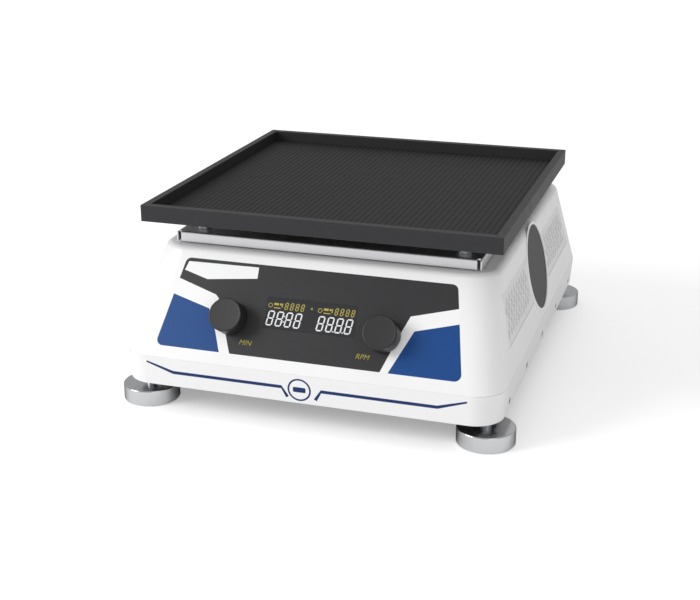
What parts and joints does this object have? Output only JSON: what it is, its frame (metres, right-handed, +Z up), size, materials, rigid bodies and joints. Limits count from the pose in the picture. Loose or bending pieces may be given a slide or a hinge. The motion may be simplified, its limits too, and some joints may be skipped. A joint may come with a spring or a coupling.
{
  "type": "orbital shaker",
  "caption": "Bench shaker: a square tray on a crank that circles flat over a white housing with a sloping control panel, knobs, a display, side vents and levelling feet.",
  "frame": {"origin": "on the bench, under the middle of the housing", "axes": "+X to the right seen from the control panel, +Y to the back, +Z up"},
  "size_m": [0.3904, 0.451, 0.1915],
  "materials": {
    "housing_white": "satin moulded white",
    "tray_dark": "fine blasted and dark anodised",
    "mat_rubber": "matt ribbed rubber",
    "pan_steel": "brushed stainless sheet",
    "spacer_aluminium": "turned",
    "panel_film": "printed film, dark grey, white and blue",
    "display_black": "smoked clear cover with lit digits behind it",
    "knob_dark": "satin dark grey",
    "shaft_steel": "turned",
    "cover_grey": "matt moulded grey",
    "foot_steel": "turned and polished",
    "stud_steel": "turned thread, plain in the model",
    "screw_black": "blackened steel",
    "screw_zinc": "zinc plated",
    "plate_zinc": "galvanised sheet",
    "spindle_cast": "machined casting",
    "weight_cast": "painted casting",
    "bearing_steel": "ground bearing steel",
    "machined_steel": "machined",
    "machined_aluminium": "turned",
    "belt_rubber": "ribbed belt",
    "motor_black": "black enamel",
    "board_green": "circuit board",
    "display_module": "display block",
    "encoder_case": "stamped case",
    "rotor_plastic": "moulded",
    "socket_black": "moulded black",
    "rocker_black": "moulded black",
    "supply_case": "punched sheet case"
  },
  "bodies": {
    "root": {"base_plate": "plate_zinc", "lower_shell": "housing_white", "upper_housing": "housing_white", "control_overlay": "panel_film", "display_window": "display_black", "display_module": "display_module", "control_board": "board_green", "encoder_left": "encoder_case", "encoder_right": "encoder_case", "side_cover_left": "cover_grey", "side_cover_right": "cover_grey", "vent_grilles_left": "housing_white", "vent_grilles_right": "housing_white", "skirt_screws": "screw_black", "power_supply": "supply_case", "power_inlet": "socket_black", "switch_frame": "socket_black", "spindle_housing": "spindle_cast", "spindle_bearings": "bearing_steel", "motor": "motor_black", "motor_bracket": "plate_zinc", "drive_belt": "belt_rubber", "idler_posts": "machined_aluminium", "idler_bearings": "bearing_steel", "chassis_screws": "screw_zinc", "board_screws": "screw_zinc"},
    "crank": {"spindle": "machined_steel", "drive_pulley": "machined_aluminium", "crank_plate": "machined_steel", "counterweight": "weight_cast"},
    "motor_rotor": {"motor_shaft": "machined_steel", "motor_pulley": "machined_aluminium"},
    "platform": {"platform_pan": "pan_steel", "centre_bearing_cup": "machined_aluminium", "centre_bearing": "bearing_steel", "idler_bearing_cups": "machined_aluminium", "cup_bearings": "bearing_steel", "tray_spacers": "spacer_aluminium", "tray": "tray_dark", "tray_mat": "mat_rubber", "tray_fasteners": "screw_zinc"},
    "rocker": {"power_rocker": "rocker_black"},
    "idler_front_left": {"idler_crank_front_left": "machined_steel"},
    "stud_front_left": {"foot_stud_front_left": "stud_steel"},
    "foot_front_left": {"foot_disc_front_left": "foot_steel"},
    "idler_back_left": {"idler_crank_back_left": "machined_steel"},
    "stud_back_left": {"foot_stud_back_left": "stud_steel"},
    "foot_back_left": {"foot_disc_back_left": "foot_steel"},
    "idler_front_right": {"idler_crank_front_right": "machined_steel"},
    "stud_front_right": {"foot_stud_front_right": "stud_steel"},
    "foot_front_right": {"foot_disc_front_right": "foot_steel"},
    "idler_back_right": {"idler_crank_back_right": "machined_steel"},
    "stud_back_right": {"foot_stud_back_right": "stud_steel"},
    "foot_back_right": {"foot_disc_back_right": "foot_steel"},
    "rotor_left": {"encoder_rotor_left": "rotor_plastic"},
    "knob_left": {"knob_left": "knob_dark", "knob_shaft_left": "shaft_steel"},
    "rotor_right": {"encoder_rotor_right": "rotor_plastic"},
    "knob_right": {"knob_right": "knob_dark", "knob_shaft_right": "shaft_steel"}
  },
  "joints": [
    {"name": "crank_spin", "type": "hinge", "parent": "root", "child": "crank", "pos_m": [0, 0, 0], "axis": [0, 0, 1], "continuous": true},
    {"name": "platform_turn", "type": "hinge", "parent": "crank", "child": "platform", "pos_m": [0, -0.008, 0], "axis": [0, 0, 1], "continuous": true},
    {"name": "motor_spin", "type": "hinge", "parent": "root", "child": "motor_rotor", "pos_m": [0.105, 0, 0], "axis": [0, 0, 1], "continuous": true},
    {"name": "idler_spin_front_left", "type": "hinge", "parent": "root", "child": "idler_front_left", "pos_m": [-0.105, -0.105, 0], "axis": [0, 0, 1], "continuous": true},
    {"name": "idler_spin_back_left", "type": "hinge", "parent": "root", "child": "idler_back_left", "pos_m": [-0.105, 0.105, 0], "axis": [0, 0, 1], "continuous": true},
    {"name": "idler_spin_front_right", "type": "hinge", "parent": "root", "child": "idler_front_right", "pos_m": [0.105, -0.105, 0], "axis": [0, 0, 1], "continuous": true},
    {"name": "idler_spin_back_right", "type": "hinge", "parent": "root", "child": "idler_back_right", "pos_m": [0.105, 0.105, 0], "axis": [0, 0, 1], "continuous": true},
    {"name": "knob_turn_left", "type": "hinge", "parent": "root", "child": "rotor_left", "pos_m": [-0.077, -0.20142, 0.09424], "axis": [0, -0.848, 0.5299], "continuous": true},
    {"name": "knob_push_left", "type": "slide", "parent": "rotor_left", "child": "knob_left", "axis": [0, 0.848, -0.5299], "range_m": [0, 0.0005], "stiffness_N_per_m": 2000, "springref_m": -0.0005},
    {"name": "knob_turn_right", "type": "hinge", "parent": "root", "child": "rotor_right", "pos_m": [0.0725, -0.20142, 0.09424], "axis": [0, -0.848, 0.5299], "continuous": true},
    {"name": "knob_push_right", "type": "slide", "parent": "rotor_right", "child": "knob_right", "axis": [0, 0.848, -0.5299], "range_m": [0, 0.0005], "stiffness_N_per_m": 2000, "springref_m": -0.0005},
    {"name": "power_switch", "type": "hinge", "parent": "root", "child": "rocker", "pos_m": [0.024, 0.203, 0.083], "axis": [1, 0, 0], "range_deg": [0, 16]},
    {"name": "foot_height_front_left", "type": "slide", "parent": "root", "child": "stud_front_left", "axis": [0, 0, -1], "range_m": [0, 0.00601]},
    {"name": "foot_turn_front_left", "type": "hinge", "parent": "stud_front_left", "child": "foot_front_left", "pos_m": [-0.1678, -0.194, 0], "axis": [0, 0, -1], "range_deg": [0, 1440]},
    {"name": "foot_height_back_left", "type": "slide", "parent": "root", "child": "stud_back_left", "axis": [0, 0, -1], "range_m": [0, 0.00601]},
    {"name": "foot_turn_back_left", "type": "hinge", "parent": "stud_back_left", "child": "foot_back_left", "pos_m": [-0.1678, 0.194, 0], "axis": [0, 0, -1], "range_deg": [0, 1440]},
    {"name": "foot_height_front_right", "type": "slide", "parent": "root", "child": "stud_front_right", "axis": [0, 0, -1], "range_m": [0, 0.00601]},
    {"name": "foot_turn_front_right", "type": "hinge", "parent": "stud_front_right", "child": "foot_front_right", "pos_m": [0.1678, -0.194, 0], "axis": [0, 0, -1], "range_deg": [0, 1440]},
    {"name": "foot_height_back_right", "type": "slide", "parent": "root", "child": "stud_back_right", "axis": [0, 0, -1], "range_m": [0, 0.00601]},
    {"name": "foot_turn_back_right", "type": "hinge", "parent": "stud_back_right", "child": "foot_back_right", "pos_m": [0.1678, 0.194, 0], "axis": [0, 0, -1], "range_deg": [0, 1440]}
  ],
  "couplings": [
    {"joint": "platform_turn", "follows": "crank_spin", "ratio": -1},
    {"joint": "motor_spin", "follows": "crank_spin", "ratio": 4},
    {"joint": "idler_spin_front_left", "follows": "crank_spin", "ratio": 1},
    {"joint": "idler_spin_back_left", "follows": "crank_spin", "ratio": 1},
    {"joint": "idler_spin_front_right", "follows": "crank_spin", "ratio": 1},
    {"joint": "idler_spin_back_right", "follows": "crank_spin", "ratio": 1},
    {"joint": "foot_height_front_left", "follows": "foot_turn_front_left", "m_per_rad": 0.00023873},
    {"joint": "foot_height_back_left", "follows": "foot_turn_back_left", "m_per_rad": 0.00023873},
    {"joint": "foot_height_front_right", "follows": "foot_turn_front_right", "m_per_rad": 0.00023873},
    {"joint": "foot_height_back_right", "follows": "foot_turn_back_right", "m_per_rad": 0.00023873}
  ]
}
